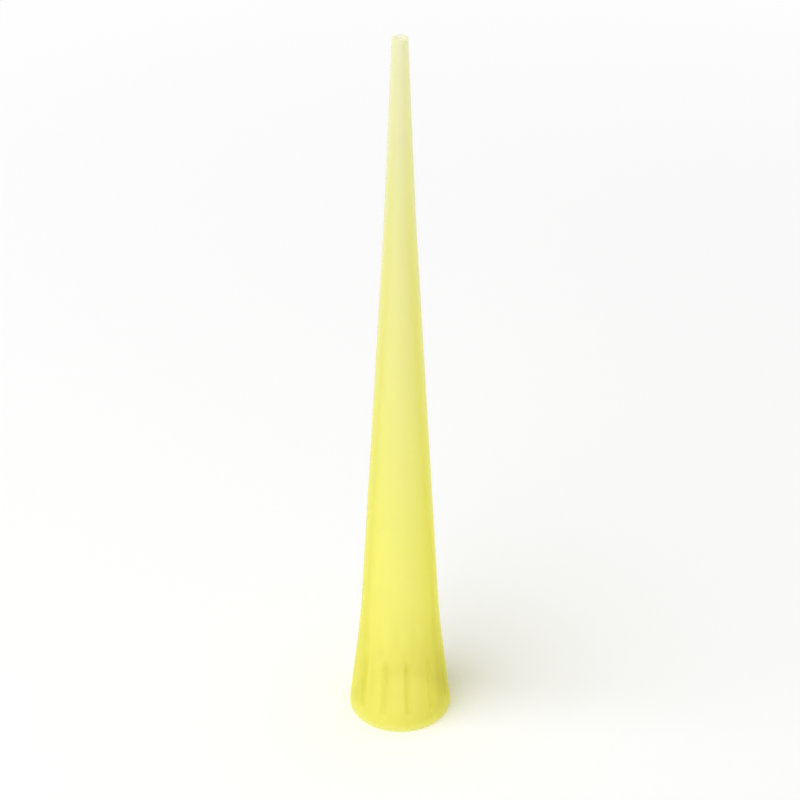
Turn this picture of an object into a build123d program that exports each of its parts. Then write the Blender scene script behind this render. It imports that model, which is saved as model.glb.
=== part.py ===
from build123d import *
import os

# Disposable pipette tip for the 200 microlitre size, moulded in one piece.
# It stands on its mouth. The origin is the centre of the mouth, and +Z runs up
# the bore to the nozzle. Sizes are in millimetres.

# Lengths along the axis
tip_length = 51.0        # mouth to nozzle end
socket_depth = 5.6       # mouth to the seat that seals on the pipette
seat_lead = 0.25         # length of the bevel that leads into the seat
seat_length = 2.0
nozzle_length = 12.0     # the slimmer cone at the liquid end

# Bore diameters, from the mouth to the nozzle end
mouth_bore = 5.4
socket_end_bore = 4.9
seat_bore = 4.5
nozzle_root_bore = 1.0
orifice_bore = 0.5

# Wall thickness from the mouth to the nozzle end
mouth_wall = 0.9
seat_wall = 0.5
nozzle_root_wall = 0.5
orifice_wall = 0.25

# Ribs inside the socket
rib_count = 12
rib_width = 0.36
rib_height = 0.22        # at the mouth end of a rib
rib_setback = 1.2        # plain band between the mouth and the ribs
rib_ramp = 0.5           # length of the sloping start of a rib
rib_root = 0.3           # how far a rib reaches into the wall behind it
rib_seat_clearance = 0.02  # how far a rib's crest stays back from the seat's bore
rib_edge_radius = 0.08

# Rounded edges and blends
rim_outer_radius = 0.2
rim_inner_radius = 0.2
collar_blend_radius = 80.0
nozzle_blend_radius = 80.0
orifice_outer_radius = 0.08

# Heights that follow from the lengths
socket_end = socket_depth - seat_lead
seat_top = socket_depth + seat_length
nozzle_root = tip_length - nozzle_length


def outer_radius(bore, wall):
    """Radius of the outside where the bore and the wall are known."""
    return bore / 2 + wall


def build_wall():
    """The moulded wall without its ribs: the outer form less the stepped bore."""
    mouth_outer = outer_radius(mouth_bore, mouth_wall)
    collar_outer = outer_radius(seat_bore, seat_wall)
    nozzle_outer = outer_radius(nozzle_root_bore, nozzle_root_wall)
    orifice_outer = outer_radius(orifice_bore, orifice_wall)

    with BuildPart() as wall:
        # Outer form: flared collar, long body cone and nozzle cone
        with BuildSketch(Plane.XZ):
            with BuildLine():
                outside = FilletPolyline(
                    (0, 0),
                    (mouth_outer, 0),
                    (collar_outer, seat_top),
                    (nozzle_outer, nozzle_root),
                    (orifice_outer, tip_length),
                    (0, tip_length),
                    radius=[
                        rim_outer_radius,
                        collar_blend_radius,
                        nozzle_blend_radius,
                        orifice_outer_radius,
                    ],
                )
                Line(outside @ 1, outside @ 0)
            make_face()
        revolve(axis=Axis.Z)

        # Bore: tapered socket, bevel, straight seat, body cone and nozzle cone
        with BuildSketch(Plane.XZ):
            with BuildLine():
                Polyline(
                    (0, 0),
                    (mouth_bore / 2, 0),
                    (socket_end_bore / 2, socket_end),
                    (seat_bore / 2, socket_depth),
                    (seat_bore / 2, seat_top),
                    (nozzle_root_bore / 2, nozzle_root),
                    (orifice_bore / 2, tip_length),
                    (0, tip_length),
                    close=True,
                )
            make_face()
        revolve(axis=Axis.Z, mode=Mode.SUBTRACT)

        # Rounded lead-in where the bore meets the flat rim
        rim_edges = wall.edges().filter_by(GeomType.CIRCLE).group_by(Axis.Z)[0]
        fillet(rim_edges.sort_by(SortBy.RADIUS)[0], radius=rim_inner_radius)
    return wall.part


def socket_radius(height):
    """Radius of the tapered socket at a height between the mouth and its inner end."""
    share = height / socket_end
    return (mouth_bore * (1 - share) + socket_end_bore * share) / 2


def build_rib():
    """One rib on the +X side of the socket, rooted in the wall and in the seat's bevel."""
    ramp_top = rib_setback + rib_ramp
    ramp_slope = rib_ramp / (socket_radius(rib_setback) - socket_radius(ramp_top) + rib_height)

    with BuildPart() as rib:
        with BuildSketch(Plane.XZ):
            with BuildLine():
                Polyline(
                    (socket_radius(rib_setback) + rib_root, rib_setback - rib_root * ramp_slope),
                    (socket_radius(ramp_top) - rib_height, ramp_top),
                    (seat_bore / 2 + rib_seat_clearance, socket_depth),
                    (seat_bore / 2 + rib_root, socket_depth),
                    close=True,
                )
            make_face()
        extrude(amount=rib_width / 2, both=True)
        crest_edges = rib.edges().filter_by(Axis.Y, reverse=True).group_by(Axis.X)[0]
        fillet(crest_edges, radius=rib_edge_radius)
    return rib.part


with BuildPart() as pipette_tip:
    add(build_wall())
    rib = build_rib()
    with PolarLocations(0, rib_count):
        add(rib)

pipette_tip.part.label = "pipette_tip"
os.makedirs("parts", exist_ok=True)
export_step(pipette_tip.part, "parts/pipette_tip.step")
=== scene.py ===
"""A disposable pipette tip of translucent yellow polypropylene, standing on its mouth."""

import logging
import math
from collections.abc import Callable
from dataclasses import dataclass
from enum import Enum
from functools import partial

import bpy
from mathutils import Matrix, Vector


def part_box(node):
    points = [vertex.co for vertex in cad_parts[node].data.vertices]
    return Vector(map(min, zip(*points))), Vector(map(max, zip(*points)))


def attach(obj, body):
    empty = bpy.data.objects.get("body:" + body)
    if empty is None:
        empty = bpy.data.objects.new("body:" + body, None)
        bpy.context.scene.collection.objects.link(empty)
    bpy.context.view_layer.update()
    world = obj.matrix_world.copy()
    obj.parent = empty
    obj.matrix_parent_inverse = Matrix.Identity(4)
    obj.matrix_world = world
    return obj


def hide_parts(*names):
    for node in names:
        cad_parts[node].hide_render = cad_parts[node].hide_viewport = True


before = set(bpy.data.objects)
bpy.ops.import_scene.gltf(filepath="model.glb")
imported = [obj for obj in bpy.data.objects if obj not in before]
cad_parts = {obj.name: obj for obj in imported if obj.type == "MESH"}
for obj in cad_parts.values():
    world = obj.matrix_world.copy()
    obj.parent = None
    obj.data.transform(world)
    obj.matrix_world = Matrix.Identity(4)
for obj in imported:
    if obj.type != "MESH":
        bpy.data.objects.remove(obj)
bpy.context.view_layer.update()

MM = 0.001
TOUCH = 0.001  # how close two places count as one, in millimetres
LOOSENED = 0.9  # what the ribs' skin is first shrunk by, to part it from the wall
log = logging.getLogger("pipette_tip")

Station = tuple[float, float]  # a ring's radius and its height, in millimetres
Colour = tuple[float, float, float]
WHITE: Colour = (1.0, 1.0, 1.0)


# ---------------------------------------------------------------- workbench


class Element(Enum):
    """What a selection in edit mode is made of."""

    FACE = "FACE"
    POINT = "VERT"


def clear_selection() -> None:
    """Leaves edit mode and deselects every object."""
    if bpy.context.object and bpy.context.object.mode != "OBJECT":
        bpy.ops.object.mode_set(mode="OBJECT")
    bpy.ops.object.select_all(action="DESELECT")


def pick(piece: bpy.types.Object, kind: Element, wanted: Callable[..., bool]) -> int:
    """Selects the faces or points of a piece in edit mode that pass a test.

    Args:
        piece: The mesh object that is being edited.
        kind: Whether faces or points are selected.
        wanted: Says whether a face or a point belongs to the selection.

    Returns:
        How many faces or points were selected.
    """
    bpy.ops.mesh.select_mode(type=kind.value)
    bpy.ops.mesh.select_all(action="DESELECT")
    bpy.ops.object.mode_set(mode="OBJECT")
    elements = piece.data.polygons if kind is Element.FACE else piece.data.vertices
    chosen = [element for element in elements if wanted(element)]
    for element in chosen:
        element.select = True
    bpy.ops.object.mode_set(mode="EDIT")
    return len(chosen)


def scale_about_axis(factor: float, height: float) -> None:
    """Scales the selection about the tip's axis, from a height in metres."""
    bpy.ops.transform.resize(value=(factor, factor, 1), center_override=(0, 0, height))


def seal() -> None:
    """Merges the points of the edited piece that touch, and turns its faces outwards."""
    bpy.ops.mesh.select_all(action="SELECT")
    bpy.ops.mesh.remove_doubles(threshold=TOUCH / 2 * MM)
    bpy.ops.mesh.normals_make_consistent(inside=False)


def station_of(place: Vector) -> Station:
    """The radius and height of a place on the tip, in millimetres."""
    return place.xy.length / MM, place.z / MM


# ------------------------------------------------------------------- section


@dataclass(frozen=True)
class Corner:
    """A rounded corner of the turned section, in millimetres.

    Attributes:
        radius: Distance from the axis.
        height: Height above the rim.
        rounding: Radius of the arc that rounds the corner.
        steps: How many steps the arc is divided into.
    """

    radius: float
    height: float
    rounding: float
    steps: int

    @property
    def point(self) -> Vector:
        """The corner as a vector in the plane of the section."""
        return Vector((self.radius, self.height))

    def round_off(self, before: "Corner", after: "Corner") -> list[Station]:
        """Rounds the corner with the arc that is tangent to both of its sides.

        Args:
            before: The corner before it along the section.
            after: The corner after it.

        Returns:
            The rings along the arc.
        """
        back = (before.point - self.point).normalized()
        ahead = (after.point - self.point).normalized()
        half_angle = back.angle(ahead) / 2
        setback = self.rounding / math.tan(half_angle)
        bisector = (back + ahead).normalized()
        centre = self.point + bisector * (self.rounding / math.sin(half_angle))
        start = self.point + back * setback - centre
        end = self.point + ahead * setback - centre
        turn = start.angle_signed(end)
        rings = []
        for step in range(self.steps + 1):
            angle = -turn * step / self.steps
            x = start.x * math.cos(angle) - start.y * math.sin(angle)
            y = start.x * math.sin(angle) + start.y * math.cos(angle)
            rings.append((centre.x + x, centre.y + y))
        return rings


# ------------------------------------------------------------------- the tip


@dataclass
class PipetteTip:
    """The whole tip as one moulded wall: collar, ribbed socket, seat, body and nozzle.

    Sizes are in millimetres, and heights run up from the rim that it stands on.

    Attributes:
        length: Rim to nozzle end.
        socket_depth: Rim to the seat that seals on the pipette.
        seat_lead: Length of the bevel that leads into the seat.
        seat_length: Length of the seat.
        nozzle_length: Length of the slimmer cone at the liquid end.
        mouth_bore: Bore at the rim.
        socket_end_bore: Bore at the start of the bevel.
        seat_bore: Bore of the seat.
        nozzle_root_bore: Bore at the start of the nozzle.
        orifice_bore: Bore at the end of the nozzle.
        mouth_wall: Wall at the rim.
        seat_wall: Wall at the end of the seat.
        nozzle_root_wall: Wall at the start of the nozzle.
        orifice_wall: Wall at the end of the nozzle.
        rim_radius: Radius that rounds the rim's outer and inner edge.
        outer_blend: Radius of the outside where collar, body and nozzle meet.
        bore_blend: Radius of the bore where body and nozzle meet.
        seat_end_radius: Radius of the bore where the seat ends in the body.
        bevel_radius: Radius at both ends of the seat's bevel.
        orifice_outer_radius: Radius of the nozzle's outer edge.
        orifice_inner_radius: Radius of the nozzle's inner edge.
        rib_count: How many ribs stand in the socket.
        rib_height: Height of a rib at the top of its ramp.
        rib_setback: Plain band between the rim and the ribs.
        rib_ramp: Length of the sloping start of a rib.
        rib_seat_clearance: How far a rib's crest stays back from the seat's bore.
        rib_shoulder: How much lower the two edges of a rib are than its middle.
        sink_depth: Depth of a sink line at its middle, taken at the mouth's bore.
        sink_reaches: Facets from a rib's middle within which each step draws the sink in.
        facets_per_rib: How many facets wide a rib is.
        facets_around: How many facets the wall has round the axis.
        ring_spacing: Greatest distance between two rings, about.
        crease_angle: Edges sharper than this stay crisp, in degrees.
    """

    length: float
    socket_depth: float = 5.6
    seat_lead: float = 0.25
    seat_length: float = 2.0
    nozzle_length: float = 12.0
    mouth_bore: float = 5.4
    socket_end_bore: float = 4.9
    seat_bore: float = 4.5
    nozzle_root_bore: float = 1.0
    orifice_bore: float = 0.5
    mouth_wall: float = 0.9
    seat_wall: float = 0.5
    nozzle_root_wall: float = 0.5
    orifice_wall: float = 0.25
    rim_radius: float = 0.2
    outer_blend: float = 80.0
    bore_blend: float = 40.0
    seat_end_radius: float = 2.0
    bevel_radius: float = 0.15
    orifice_outer_radius: float = 0.08
    orifice_inner_radius: float = 0.04
    rib_count: int = 12
    rib_height: float = 0.22
    rib_setback: float = 1.2
    rib_ramp: float = 0.5
    rib_seat_clearance: float = 0.02
    rib_shoulder: float = 0.06
    sink_depth: float = 0.08
    sink_reaches: tuple[float, float] = (1.5, 0.5)
    facets_per_rib: int = 4
    facets_around: int = 180
    ring_spacing: float = 2.5
    crease_angle: float = 24.0

    def corners(self) -> list[Corner]:
        """Lists the corners of the section.

        Returns:
            The corners up the outside, over the nozzle's end and down the bore.
        """
        mouth, seat = self.mouth_bore / 2, self.seat_bore / 2
        nozzle, orifice = self.nozzle_root_bore / 2, self.orifice_bore / 2
        socket_end = self.socket_depth - self.seat_lead
        seat_end = self.socket_depth + self.seat_length
        nozzle_root = self.length - self.nozzle_length
        return [
            Corner(mouth + self.mouth_wall, 0, self.rim_radius, steps=8),
            Corner(seat + self.seat_wall, seat_end, self.outer_blend, steps=12),
            Corner(nozzle + self.nozzle_root_wall, nozzle_root, self.outer_blend, steps=4),
            Corner(orifice + self.orifice_wall, self.length, self.orifice_outer_radius, steps=6),
            Corner(orifice, self.length, self.orifice_inner_radius, steps=4),
            Corner(nozzle, nozzle_root, self.bore_blend, steps=4),
            Corner(seat, seat_end, self.seat_end_radius, steps=4),
            Corner(seat, self.socket_depth, self.bevel_radius, steps=3),
            Corner(self.socket_end_bore / 2, socket_end, self.bevel_radius, steps=3),
            Corner(mouth, 0, self.rim_radius, steps=8),
        ]

    def stations(self) -> list[Station]:
        """Lists every ring of the section.

        Returns:
            The rings in order, with spare ones down the long straight walls, and one at each
            end of the ribs' ramp.
        """
        corners = self.corners()
        arcs: list[Station] = []
        for index, corner in enumerate(corners):
            arcs += corner.round_off(corners[index - 1], corners[(index + 1) % len(corners)])
        ramp_ends = [self.rib_setback + self.rib_ramp, self.rib_setback]
        rings: list[Station] = []
        for index, (radius, height) in enumerate(arcs):
            rings.append((radius, height))
            next_radius, next_height = arcs[(index + 1) % len(arcs)]
            rise = next_height - height
            if next_radius < self.mouth_bore / 2 and height > ramp_ends[0] > next_height:
                shares = [(end - height) / rise for end in ramp_ends]
            else:
                parts = max(1, round(abs(rise) / self.ring_spacing))
                shares = [part / parts for part in range(1, parts)]
            for share in shares:
                rings.append((radius + (next_radius - radius) * share, height + rise * share))
        return rings

    def socket_radius(self, height: float) -> float:
        """Radius of the tapered socket at a height."""
        share = height / (self.socket_depth - self.seat_lead)
        return (self.mouth_bore * (1 - share) + self.socket_end_bore * share) / 2

    def crest_radius(self, height: float) -> float:
        """Finds how near the axis a rib comes, up its ramp and on to the seat.

        Args:
            height: Height between the ribs' start and the seat.

        Returns:
            The radius of the rib's crest there.
        """
        ramp_top = self.rib_setback + self.rib_ramp
        foot = self.socket_radius(self.rib_setback)
        top = self.socket_radius(ramp_top) - self.rib_height
        end = self.seat_bore / 2 + self.rib_seat_clearance
        if height < ramp_top:
            return foot + (top - foot) * (height - self.rib_setback) / self.rib_ramp
        return top + (end - top) * (height - ramp_top) / (self.socket_depth - ramp_top)

    def facets_from_rib(self, place: Vector) -> float:
        """Measures round the axis from a place to the middle of its nearest rib.

        Args:
            place: Any place on the tip.

        Returns:
            The distance in facets.
        """
        per_facet = math.tau / self.facets_around
        facets_between = self.facets_around / self.rib_count
        facet = math.atan2(place.y, place.x) / per_facet
        return abs((facet + facets_between / 2) % facets_between - facets_between / 2)

    def along_ribs(self, height: float) -> bool:
        """Whether a height lies between the start and the end of the ribs."""
        return self.rib_setback < height < self.socket_depth

    def under_rib(self, face: bpy.types.MeshPolygon) -> bool:
        """Tells the faces of the socket that lie under a rib.

        Args:
            face: A face of the plain wall.

        Returns:
            Whether a rib rises from it.
        """
        radius, height = station_of(face.center)
        in_socket = radius < self.mouth_bore / 2 and self.along_ribs(height)
        return in_socket and self.facets_from_rib(face.center) < self.facets_per_rib / 2

    def on_crest(self, point: bpy.types.MeshVertex, station: Station, shoulder: bool) -> bool:
        """Tells the points of the ribs' loosened skin that belong to one ring.

        Args:
            point: A point of the wall or of the loosened skin.
            station: The loosened ring's radius and height.
            shoulder: Whether the ribs' two edges are meant, and not what lies between them.

        Returns:
            Whether the point belongs to that part of the ring.
        """
        radius, height = station_of(point.co)
        on_ring = abs(height - station[1]) < TOUCH and abs(radius - station[0]) < TOUCH
        at_edge = self.facets_from_rib(point.co) > (self.facets_per_rib - 1) / 2
        return on_ring and at_edge == shoulder

    def behind_rib(self, point: bpy.types.MeshVertex, reach: float) -> bool:
        """Tells the points of the outside that lie behind a rib.

        Args:
            point: A point of the wall.
            reach: How many facets from the rib's middle still count.

        Returns:
            Whether the point is drawn in.
        """
        radius, height = station_of(point.co)
        outside = radius > self.mouth_bore / 2 and self.along_ribs(height)
        return outside and self.facets_from_rib(point.co) < reach

    def raise_wall(self) -> bpy.types.Object:
        """Draws the wall ring by ring, up the outside and down the bore.

        Returns:
            The closed wall in edit mode, without its ribs.
        """
        rings = self.stations()
        clear_selection()
        radius, height = rings[0]
        bpy.ops.mesh.primitive_circle_add(
            vertices=self.facets_around,
            radius=radius * MM,
            location=(0, 0, height * MM),
            fill_type="NOTHING",
        )
        wall = bpy.context.object
        bpy.ops.object.transform_apply(location=True, rotation=True, scale=True)
        bpy.ops.object.mode_set(mode="EDIT")
        bpy.ops.mesh.select_all(action="SELECT")
        for next_radius, next_height in rings[1:] + rings[:1]:
            climb = (0, 0, (next_height - height) * MM)
            bpy.ops.mesh.extrude_edges_move(TRANSFORM_OT_translate={"value": climb})
            scale_about_axis(next_radius / radius, next_height * MM)
            radius, height = next_radius, next_height
        seal()
        return wall

    def raise_ribs(self, wall: bpy.types.Object) -> None:
        """Pulls the ribs out of the socket's wall.

        Args:
            wall: The closed wall, in edit mode.
        """
        low, high = self.rib_setback - TOUCH, self.socket_depth + TOUCH
        rings = [
            (radius, height)
            for radius, height in self.stations()
            if radius < self.mouth_bore / 2 and low < height < high
        ]
        count = pick(wall, Element.FACE, self.under_rib)
        log.info("ribs rise from %d facets of the socket", count)
        bpy.ops.mesh.extrude_region_move(TRANSFORM_OT_translate={"value": (0, 0, 0)})
        scale_about_axis(LOOSENED, 0)
        for radius, height in rings:
            station = (radius * LOOSENED, height)
            for shoulder in (False, True):
                drop = self.rib_shoulder if shoulder else 0.0
                crest = min(self.crest_radius(height) + drop, radius)
                wanted = partial(self.on_crest, station=station, shoulder=shoulder)
                pick(wall, Element.POINT, wanted)
                scale_about_axis(crest / (radius * LOOSENED), height * MM)
        seal()

    def draw_in_sinks(self, wall: bpy.types.Object) -> None:
        """Draws the outside in a little behind each rib, where the thicker plastic shrinks.

        Args:
            wall: The ribbed wall, in edit mode.
        """
        step = self.sink_depth / len(self.sink_reaches)
        for reach in self.sink_reaches:
            count = pick(wall, Element.POINT, partial(self.behind_rib, reach=reach))
            log.info("sink lines draw in %d points", count)
            scale_about_axis(1 - step / (self.mouth_bore / 2), 0)

    def build(self, plastic: bpy.types.Material) -> bpy.types.Object:
        """Models the tip and dresses it.

        Args:
            plastic: The moulded plastic.

        Returns:
            The finished tip, which stands for the frame's solid.
        """
        tip = self.raise_wall()
        self.raise_ribs(tip)
        self.draw_in_sinks(tip)
        bpy.ops.object.mode_set(mode="OBJECT")
        tip.name = "moulded_tip"
        tip.data.name = "moulded_tip"
        bpy.ops.object.shade_smooth_by_angle(angle=math.radians(self.crease_angle))
        tip.data.materials.append(plastic)
        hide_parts("pipette_tip")
        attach(tip, "root")
        return tip


# ------------------------------------------------------------------ finishes


def opaque(colour: Colour) -> tuple[float, float, float, float]:
    """A colour in the form that a node's input takes."""
    return (*colour, 1.0)


class NodeDesk:
    """Lays out the nodes of one material or of the world."""

    def __init__(self, owner: bpy.types.Material | bpy.types.World) -> None:
        """Clears the owner's nodes and lays out its output.

        Args:
            owner: The material or world whose nodes are laid out.
        """
        owner.use_nodes = True
        self.tree = owner.node_tree
        self.tree.nodes.clear()
        kind = "World" if isinstance(owner, bpy.types.World) else "Material"
        self.output = self.tree.nodes.new("ShaderNodeOutput" + kind)

    def feed(self, target: bpy.types.NodeSocket, source: object) -> None:
        """Feeds an input.

        Args:
            target: The input.
            source: Another node's output, or a plain value.
        """
        if isinstance(source, bpy.types.NodeSocket):
            self.tree.links.new(source, target)
        else:
            target.default_value = source

    def add(self, kind: str, **values: object) -> bpy.types.Node:
        """Adds a node, sets its properties and feeds its inputs.

        Args:
            kind: The node's type without the ShaderNode prefix.
            **values: Properties by name, or inputs by name with spaces as underscores.

        Returns:
            The new node.
        """
        node = self.tree.nodes.new("ShaderNode" + kind)
        for name, value in values.items():
            if name.islower() and hasattr(node, name):
                setattr(node, name, value)
            else:
                self.feed(node.inputs[name.replace("_", " ")], value)
        return node

    def work_out(self, operation: str, *terms: object) -> bpy.types.NodeSocket:
        """Works out a number from others.

        Args:
            operation: The sum to do, by its name in the math node.
            *terms: The numbers that go into it, or the outputs that give them.

        Returns:
            The output that gives the result.
        """
        node = self.add("Math", operation=operation)
        for target, term in zip(node.inputs, terms):
            self.feed(target, term)
        return node.outputs[0]

    def fade(self, value: bpy.types.NodeSocket, start: float, end: float) -> bpy.types.NodeSocket:
        """Eases a number in.

        Args:
            value: The output that gives the number.
            start: Where the result is still 0.
            end: Where the result reaches 1.

        Returns:
            The output that gives the result.
        """
        ease = self.add(
            "MapRange", interpolation_type="SMOOTHSTEP", Value=value, From_Min=start, From_Max=end
        )
        return ease.outputs["Result"]

    def mix(self, share: object, base: bpy.types.Node, other: bpy.types.Node) -> bpy.types.Node:
        """Mixes two shaders.

        Args:
            share: How much of the other shader there is, or the output that says so.
            base: The shader that takes up the rest.
            other: The shader that is mixed in.

        Returns:
            The mixed shader.
        """
        node = self.add("MixShader")
        for target, source in zip(node.inputs, (share, base.outputs[0], other.outputs[0])):
            self.feed(target, source)
        return node

    def seen(self) -> bpy.types.NodeSocket:
        """Tells what is looked at from what only lights the scene.

        Returns:
            An output that is 1 for a straight, glossy or see-through look and 0 otherwise.
        """
        looks = self.add("LightPath").outputs
        direct = self.work_out("MAXIMUM", looks["Is Camera Ray"], looks["Is Glossy Ray"])
        return self.work_out("MAXIMUM", direct, looks["Is Transmission Ray"])


@dataclass(frozen=True)
class TranslucentPolypropylene:
    """Natural polypropylene tinted yellow: pale in a thin wall, milky and deep where thick.

    Attributes:
        tint: Colour of the plastic in the collar and the lower body.
        thin_tint: Its colour at the nozzle's end, where the wall is thinnest.
        paling: Shares of the tip's length between which the colour pales.
        painted_rib_shade: What the colour is multiplied by along each rib: partly the deeper
            yellow of the thicker plastic, partly painted shade of the rib seen through the wall.
        rib_blur: Cosines of the rib's phase between which its painted shade eases in.
        absorbed: Colour that it lets through with depth.
        absorption: How strongly it absorbs, per metre.
        refraction: Index of refraction.
        gloss: Roughness of the smoothest and of the dullest skin.
        coat: Strength of the sheen on top of the skin.
        clear: Share of light that passes unscattered in the collar and at the nozzle's end.
        glow: Share of the scattered light that comes out on the far side.
        ripple: Height of the moulded skin's ripple, in millimetres.
        ripple_strength: How much of the ripple the light picks out.
        ripple_scale: How fine the ripple is across the tip, per metre.
        ripple_stretch: How fine it is along the tip, as a share of that.
        ripple_detail: How many finer ripples lie on it.
        ripple_roughness: How strong each of them is, as a share of the one before.
    """

    tint: Colour = (0.99, 0.97, 0.362)
    thin_tint: Colour = (0.925, 0.92, 0.815)
    paling: tuple[float, float] = (0.28, 0.88)
    painted_rib_shade: Colour = (0.89, 0.885, 0.70)
    rib_blur: tuple[float, float] = (0.3, 1.0)
    absorbed: Colour = (0.935, 0.92, 0.0)
    absorption: float = 850.0
    refraction: float = 1.49
    gloss: tuple[float, float] = (0.26, 0.36)
    coat: float = 0.15
    clear: tuple[float, float] = (0.66, 0.69)
    glow: float = 0.28
    ripple: float = 0.001
    ripple_strength: float = 0.35
    ripple_scale: float = 900.0
    ripple_stretch: float = 0.12
    ripple_detail: float = 3.0
    ripple_roughness: float = 0.55

    def mark_painted_rib_shade(
        self, desk: NodeDesk, axes: bpy.types.NodeOutputs, tip: PipetteTip
    ) -> bpy.types.NodeSocket:
        """Marks each rib, where the wall is thicker and shade is painted as if seen through it.

        Args:
            desk: The material's nodes.
            axes: The outputs that give the place on the tip as X, Y and Z.
            tip: The tip, whose ribs are marked.

        Returns:
            An output that is 1 along each rib and 0 between the ribs.
        """
        turn = desk.work_out("ARCTAN2", axes["Y"], axes["X"])
        phase = desk.work_out("MULTIPLY", turn, tip.rib_count)
        across = desk.fade(desk.work_out("COSINE", phase), *self.rib_blur)
        ramp_top = tip.rib_setback + tip.rib_ramp
        rise = desk.fade(axes["Z"], tip.rib_setback * MM, ramp_top * MM)
        before_seat, past_seat = tip.socket_depth - tip.rib_ramp, tip.socket_depth + tip.rib_ramp
        fall = desk.fade(axes["Z"], past_seat * MM, before_seat * MM)
        return desk.work_out("MULTIPLY", desk.work_out("MULTIPLY", across, rise), fall)

    def colour(
        self,
        desk: NodeDesk,
        axes: bpy.types.NodeOutputs,
        paleness: bpy.types.NodeSocket,
        tip: PipetteTip,
    ) -> bpy.types.NodeSocket:
        """Colours the plastic by its place on the tip, and paints shade along the ribs.

        Args:
            desk: The material's nodes.
            axes: The outputs that give the place on the tip as X, Y and Z.
            paleness: The output that runs from 0 to 1 as the plastic pales.
            tip: The tip, along whose ribs shade is painted.

        Returns:
            The output that gives the colour.
        """
        plain = desk.add(
            "MixRGB", Fac=paleness, Color1=opaque(self.tint), Color2=opaque(self.thin_tint)
        )
        # Painted shade along the ribs, as if seen through the milky wall, on top of the deeper
        # yellow of the thicker plastic.
        shaded = desk.add(
            "MixRGB",
            blend_type="MULTIPLY",
            Fac=self.mark_painted_rib_shade(desk, axes, tip),
            Color1=plain.outputs["Color"],
            Color2=opaque(self.painted_rib_shade),
        )
        return shaded.outputs["Color"]

    def skin(
        self, desk: NodeDesk, place: bpy.types.NodeSocket, colour: bpy.types.NodeSocket
    ) -> bpy.types.Node:
        """Makes the glossy skin, with the faint ripple that the mould leaves.

        Args:
            desk: The material's nodes.
            place: The output that gives the place on the tip.
            colour: The output that gives the plastic's colour.

        Returns:
            The skin's shader.
        """
        stretch = (1.0, 1.0, self.ripple_stretch)
        drawn = desk.add("Mapping", Vector=place, Scale=stretch).outputs["Vector"]
        marks = desk.add(
            "TexNoise",
            Vector=drawn,
            Scale=self.ripple_scale,
            Detail=self.ripple_detail,
            Roughness=self.ripple_roughness,
        ).outputs["Fac"]
        dullness = desk.add("MapRange", Value=marks, To_Min=self.gloss[0], To_Max=self.gloss[1])
        ripple = desk.add(
            "Bump", Height=marks, Strength=self.ripple_strength, Distance=self.ripple * MM
        )
        return desk.add(
            "BsdfPrincipled",
            Base_Color=colour,
            Roughness=dullness.outputs["Result"],
            Normal=ripple.outputs["Normal"],
            IOR=self.refraction,
            Coat_Weight=self.coat,
            Coat_Roughness=self.gloss[0],
        )

    def make(self, tip: PipetteTip) -> bpy.types.Material:
        """Builds the material.

        Args:
            tip: The tip that is to be dressed in it.

        Returns:
            The finished material.
        """
        material = bpy.data.materials.new("yellow_polypropylene")
        desk = NodeDesk(material)
        place = desk.add("TexCoord").outputs["Object"]
        axes = desk.add("SeparateXYZ", Vector=place).outputs
        pale_from, pale_to = (tip.length * MM * share for share in self.paling)
        paleness = desk.add(
            "MapRange", Value=axes["Z"], From_Min=pale_from, From_Max=pale_to
        ).outputs["Result"]
        clear = desk.add("MapRange", Value=paleness, To_Min=self.clear[0], To_Max=self.clear[1])

        colour = self.colour(desk, axes, paleness, tip)
        glow = desk.add("BsdfTranslucent", Color=colour)
        milk = desk.mix(self.glow, self.skin(desk, place, colour), glow)
        unscattered = desk.add("BsdfTransparent", Color=opaque(WHITE))
        wall = desk.mix(clear.outputs["Result"], milk, unscattered)
        depth = desk.add("VolumeAbsorption", Density=self.absorption, Color=opaque(self.absorbed))
        desk.feed(desk.output.inputs["Surface"], wall.outputs["Shader"])
        desk.feed(desk.output.inputs["Volume"], depth.outputs["Volume"])
        return material


@dataclass(frozen=True)
class StudioPaper:
    """White paper that the tip stands on, which runs out into an even white backdrop.

    Attributes:
        shade: The paper's colour.
        roughness: The paper's roughness.
        sheen: How strongly the paper mirrors.
        fade: Distances from the tip between which it turns to the backdrop, in metres.
    """

    shade: Colour = (0.96, 0.96, 0.96)
    roughness: float = 0.9
    sheen: float = 0.1
    fade: tuple[float, float] = (0.05, 0.16)

    def make(self) -> bpy.types.Material:
        """Builds the material.

        Returns:
            The finished material.
        """
        material = bpy.data.materials.new("studio_paper")
        desk = NodeDesk(material)
        paper = desk.add(
            "BsdfPrincipled",
            Base_Color=opaque(self.shade),
            Roughness=self.roughness,
            Specular_IOR_Level=self.sheen,
        )
        backdrop = desk.add("Emission", Color=opaque(WHITE), Strength=1.0)
        place = desk.add("TexCoord").outputs["Object"]
        distance = desk.add("VectorMath", operation="LENGTH")
        desk.feed(distance.inputs[0], place)
        far = desk.fade(distance.outputs["Value"], *self.fade)
        floor = desk.mix(desk.work_out("MULTIPLY", far, desk.seen()), paper, backdrop)
        desk.feed(desk.output.inputs["Surface"], floor.outputs["Shader"])
        return material


# -------------------------------------------------------------------- studio


@dataclass(frozen=True)
class Softbox:
    """A round lamp that is aimed at the tip.

    Attributes:
        azimuth: Degrees round from the front.
        elevation: Degrees above the horizon.
        distance: Distance from the tip, in metres.
        width: Width of the lamp, in metres.
        level: How brightly it alone lights a white sheet that faces it.
    """

    azimuth: float
    elevation: float
    distance: float
    width: float
    level: float


class Lamp(Enum):
    """The studio's lamps."""

    KEY = Softbox(azimuth=-32.0, elevation=45.0, distance=0.90, width=1.10, level=0.98)
    FILL = Softbox(azimuth=150.0, elevation=60.0, distance=0.90, width=0.70, level=0.03)


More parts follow.
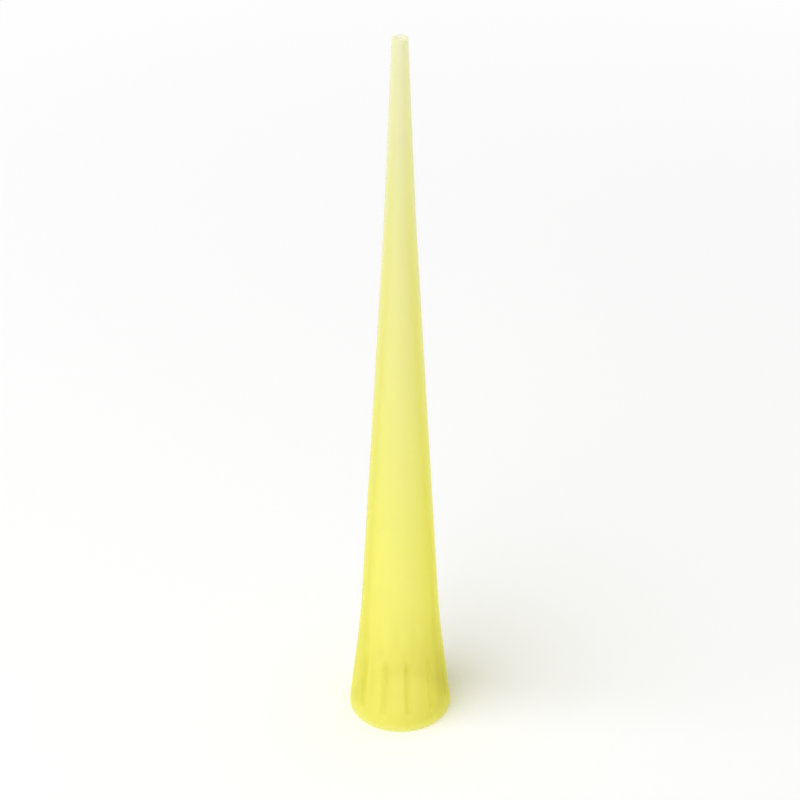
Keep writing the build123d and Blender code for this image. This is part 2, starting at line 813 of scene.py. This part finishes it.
@dataclass
class Studio:
    """A paper floor, two softboxes, an even sky and the camera.

    Attributes:
        middle: The centre of the tip.
        height: The tip's height, in metres.
        azimuth: Camera's azimuth in degrees, where 0 looks along +Y.
        elevation: Camera's height above the horizon, in degrees.
        lens: Focal length in millimetres.
        frame_share: Share of the picture's height that the tip fills.
        clip_start: How near the camera still sees, in metres.
        sky: Strength of the even light from all round.
        floor_size: Width of the floor, in metres.
    """

    middle: Vector
    height: float
    azimuth: float = 20.0
    elevation: float = 33.0
    lens: float = 100.0
    frame_share: float = 0.82
    clip_start: float = 0.005
    sky: float = 0.51
    floor_size: float = 4.0

    def stand(
        self,
        data: bpy.types.Light | bpy.types.Camera,
        azimuth: float,
        elevation: float,
        distance: float,
    ) -> bpy.types.Object:
        """Stands a lamp or the camera round the tip and aims it at the tip's centre.

        Args:
            data: The lamp or the camera.
            azimuth: Degrees round from the front.
            elevation: Degrees above the horizon.
            distance: Distance from the tip's centre, in metres.

        Returns:
            The object that holds it.
        """
        turn, rise = math.radians(azimuth), math.radians(elevation)
        flat = math.cos(rise)
        away = Vector((math.sin(turn) * flat, -math.cos(turn) * flat, math.sin(rise)))
        holder = bpy.data.objects.new(data.name, data)
        bpy.context.collection.objects.link(holder)
        holder.location = self.middle + away * distance
        holder.rotation_euler = away.to_track_quat("Z", "Y").to_euler()
        return holder

    def lay_floor(self) -> None:
        """Lays a wide sheet of paper under the tip."""
        clear_selection()
        bpy.ops.mesh.primitive_plane_add(size=self.floor_size, location=(0, 0, 0))
        floor = bpy.context.object
        floor.name = "paper_floor"
        floor.data.materials.append(StudioPaper().make())
        log.info("%s is %g m wide", floor.name, self.floor_size)

    def hang_lamps(self) -> None:
        """Hangs the softboxes and aims them at the tip."""
        for lamp in Lamp:
            box = lamp.value
            light = bpy.data.lights.new(lamp.name.lower(), "AREA")
            light.shape = "DISK"
            light.size = box.width
            light.energy = box.level * (math.pi * box.distance) ** 2
            self.stand(light, box.azimuth, box.elevation, box.distance)

    def light_sky(self) -> None:
        """Lights the scene evenly, and shows white behind and through the tip."""
        world = bpy.data.worlds.new("studio_sky")
        bpy.context.scene.world = world
        desk = NodeDesk(world)
        sky = desk.add("Background", Color=opaque(WHITE), Strength=self.sky)
        white = desk.add("Background", Color=opaque(WHITE), Strength=1.0)
        both = desk.mix(desk.seen(), sky, white)
        desk.feed(desk.output.inputs["Surface"], both.outputs["Shader"])

    def place_camera(self) -> None:
        """Sets the camera so that the tip fills its share of a square picture."""
        camera = bpy.data.cameras.new("camera")
        camera.lens = self.lens
        camera.clip_start = self.clip_start
        half_view = math.atan(camera.sensor_width / 2 / self.lens)
        seen_height = self.height * math.cos(math.radians(self.elevation))
        distance = seen_height / 2 / self.frame_share / math.tan(half_view)
        bpy.context.scene.camera = self.stand(camera, self.azimuth, self.elevation, distance)

    def build(self) -> None:
        """Sets up the floor, the light and the camera."""
        self.lay_floor()
        self.hang_lamps()
        self.light_sky()
        self.place_camera()
        bpy.context.scene.view_settings.view_transform = "Standard"


def main() -> None:
    """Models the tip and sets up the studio."""
    logging.basicConfig(level=logging.INFO, format="%(name)s: %(message)s")
    low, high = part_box("pipette_tip")
    model = PipetteTip(length=(high[2] - low[2]) / MM)
    tip = model.build(TranslucentPolypropylene().make(model))
    log.info("%s has %d faces", tip.name, len(tip.data.polygons))
    middle = (Vector(low) + Vector(high)) / 2
    Studio(middle=middle, height=high[2] - low[2]).build()


if __name__ == "__main__":
    main()
